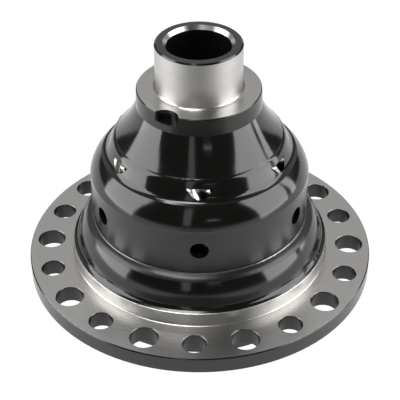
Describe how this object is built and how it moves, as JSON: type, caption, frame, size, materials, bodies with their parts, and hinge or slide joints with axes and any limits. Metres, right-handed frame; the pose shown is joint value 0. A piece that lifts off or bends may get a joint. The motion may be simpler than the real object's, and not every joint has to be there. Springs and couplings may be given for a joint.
{
  "type": "differential gear assembly",
  "caption": "Flanged closed differential case with bearing journals, side gears, helical pinion pairs and a bolted end cover.",
  "frame": {"origin": "centre of the flange's machined face, on the case axis", "axes": "+Z along the case axis towards the long journal; -Y towards the front small flange hole"},
  "size_m": [0.168, 0.168, 0.1593],
  "materials": {
    "black_oxide_case": "gloss black oxide with bare machined journal, collar face, register and flange face",
    "black_oxide_cover": "black oxide with bare machined journal",
    "screw_steel": "black oxide high-tensile steel",
    "dowel_steel": "ground hardened steel",
    "gear_steel": "case-hardened gear steel, ground flanks",
    "pinion_steel": "case-hardened gear steel, bright ends",
    "washer_steel": "phosphated steel thrust washer",
    "spring_steel": "tempered spring steel",
    "spacer_steel": "turned steel"
  },
  "bodies": {
    "case": {"differential_case": "black_oxide_case", "end_cover": "black_oxide_cover", "cover_screws": "screw_steel", "dowel_pins": "dowel_steel", "upper_thrust_washer": "washer_steel", "lower_thrust_washer": "washer_steel"},
    "upper_gear": {"upper_side_gear": "gear_steel", "centre_washer_upper": "washer_steel"},
    "lower_gear": {"lower_side_gear": "gear_steel", "centre_washer_lower": "washer_steel", "disc_spring_lower": "spring_steel", "disc_spring_upper": "spring_steel", "centre_spacer": "spacer_steel"},
    "upper_pinion_1": {"upper_pinion_1": "pinion_steel"},
    "lower_pinion_1": {"lower_pinion_1": "pinion_steel"},
    "upper_pinion_2": {"upper_pinion_2": "pinion_steel"},
    "lower_pinion_2": {"lower_pinion_2": "pinion_steel"},
    "upper_pinion_3": {"upper_pinion_3": "pinion_steel"},
    "lower_pinion_3": {"lower_pinion_3": "pinion_steel"},
    "upper_pinion_4": {"upper_pinion_4": "pinion_steel"},
    "lower_pinion_4": {"lower_pinion_4": "pinion_steel"},
    "upper_pinion_5": {"upper_pinion_5": "pinion_steel"},
    "lower_pinion_5": {"lower_pinion_5": "pinion_steel"},
    "upper_pinion_6": {"upper_pinion_6": "pinion_steel"},
    "lower_pinion_6": {"lower_pinion_6": "pinion_steel"}
  },
  "joints": [
    {"name": "upper_side_gear_spin", "type": "hinge", "parent": "case", "child": "upper_gear", "pos_m": [0, 0, 0.0365], "axis": [0, 0, 1], "continuous": true},
    {"name": "lower_side_gear_spin", "type": "hinge", "parent": "case", "child": "lower_gear", "pos_m": [0, 0, 0.0035], "axis": [0, 0, 1], "continuous": true},
    {"name": "upper_pinion_1_spin", "type": "hinge", "parent": "case", "child": "upper_pinion_1", "pos_m": [0.00109, -0.03478, 0.02], "axis": [0, 0, 1], "continuous": true},
    {"name": "lower_pinion_1_spin", "type": "hinge", "parent": "case", "child": "lower_pinion_1", "pos_m": [0.01464, -0.03157, 0.02], "axis": [0, 0, 1], "continuous": true},
    {"name": "upper_pinion_2_spin", "type": "hinge", "parent": "case", "child": "upper_pinion_2", "pos_m": [0.03067, -0.01644, 0.02], "axis": [0, 0, 1], "continuous": true},
    {"name": "lower_pinion_2_spin", "type": "hinge", "parent": "case", "child": "lower_pinion_2", "pos_m": [0.03466, -0.00311, 0.02], "axis": [0, 0, 1], "continuous": true},
    {"name": "upper_pinion_3_spin", "type": "hinge", "parent": "case", "child": "upper_pinion_3", "pos_m": [0.02958, 0.01834, 0.02], "axis": [0, 0, 1], "continuous": true},
    {"name": "lower_pinion_3_spin", "type": "hinge", "parent": "case", "child": "lower_pinion_3", "pos_m": [0.02002, 0.02846, 0.02], "axis": [0, 0, 1], "continuous": true},
    {"name": "upper_pinion_4_spin", "type": "hinge", "parent": "case", "child": "upper_pinion_4", "pos_m": [-0.00109, 0.03478, 0.02], "axis": [0, 0, 1], "continuous": true},
    {"name": "lower_pinion_4_spin", "type": "hinge", "parent": "case", "child": "lower_pinion_4", "pos_m": [-0.01464, 0.03157, 0.02], "axis": [0, 0, 1], "continuous": true},
    {"name": "upper_pinion_5_spin", "type": "hinge", "parent": "case", "child": "upper_pinion_5", "pos_m": [-0.03067, 0.01644, 0.02], "axis": [0, 0, 1], "continuous": true},
    {"name": "lower_pinion_5_spin", "type": "hinge", "parent": "case", "child": "lower_pinion_5", "pos_m": [-0.03466, 0.00311, 0.02], "axis": [0, 0, 1], "continuous": true},
    {"name": "upper_pinion_6_spin", "type": "hinge", "parent": "case", "child": "upper_pinion_6", "pos_m": [-0.02958, -0.01834, 0.02], "axis": [0, 0, 1], "continuous": true},
    {"name": "lower_pinion_6_spin", "type": "hinge", "parent": "case", "child": "lower_pinion_6", "pos_m": [-0.02002, -0.02846, 0.02], "axis": [0, 0, 1], "continuous": true}
  ],
  "couplings": [
    {"joint": "lower_side_gear_spin", "follows": "upper_side_gear_spin", "ratio": -1},
    {"joint": "upper_pinion_1_spin", "follows": "upper_side_gear_spin", "ratio": -4},
    {"joint": "lower_pinion_1_spin", "follows": "upper_side_gear_spin", "ratio": 4},
    {"joint": "upper_pinion_2_spin", "follows": "upper_side_gear_spin", "ratio": -4},
    {"joint": "lower_pinion_2_spin", "follows": "upper_side_gear_spin", "ratio": 4},
    {"joint": "upper_pinion_3_spin", "follows": "upper_side_gear_spin", "ratio": -4},
    {"joint": "lower_pinion_3_spin", "follows": "upper_side_gear_spin", "ratio": 4},
    {"joint": "upper_pinion_4_spin", "follows": "upper_side_gear_spin", "ratio": -4},
    {"joint": "lower_pinion_4_spin", "follows": "upper_side_gear_spin", "ratio": 4},
    {"joint": "upper_pinion_5_spin", "follows": "upper_side_gear_spin", "ratio": -4},
    {"joint": "lower_pinion_5_spin", "follows": "upper_side_gear_spin", "ratio": 4},
    {"joint": "upper_pinion_6_spin", "follows": "upper_side_gear_spin", "ratio": -4},
    {"joint": "lower_pinion_6_spin", "follows": "upper_side_gear_spin", "ratio": 4}
  ]
}
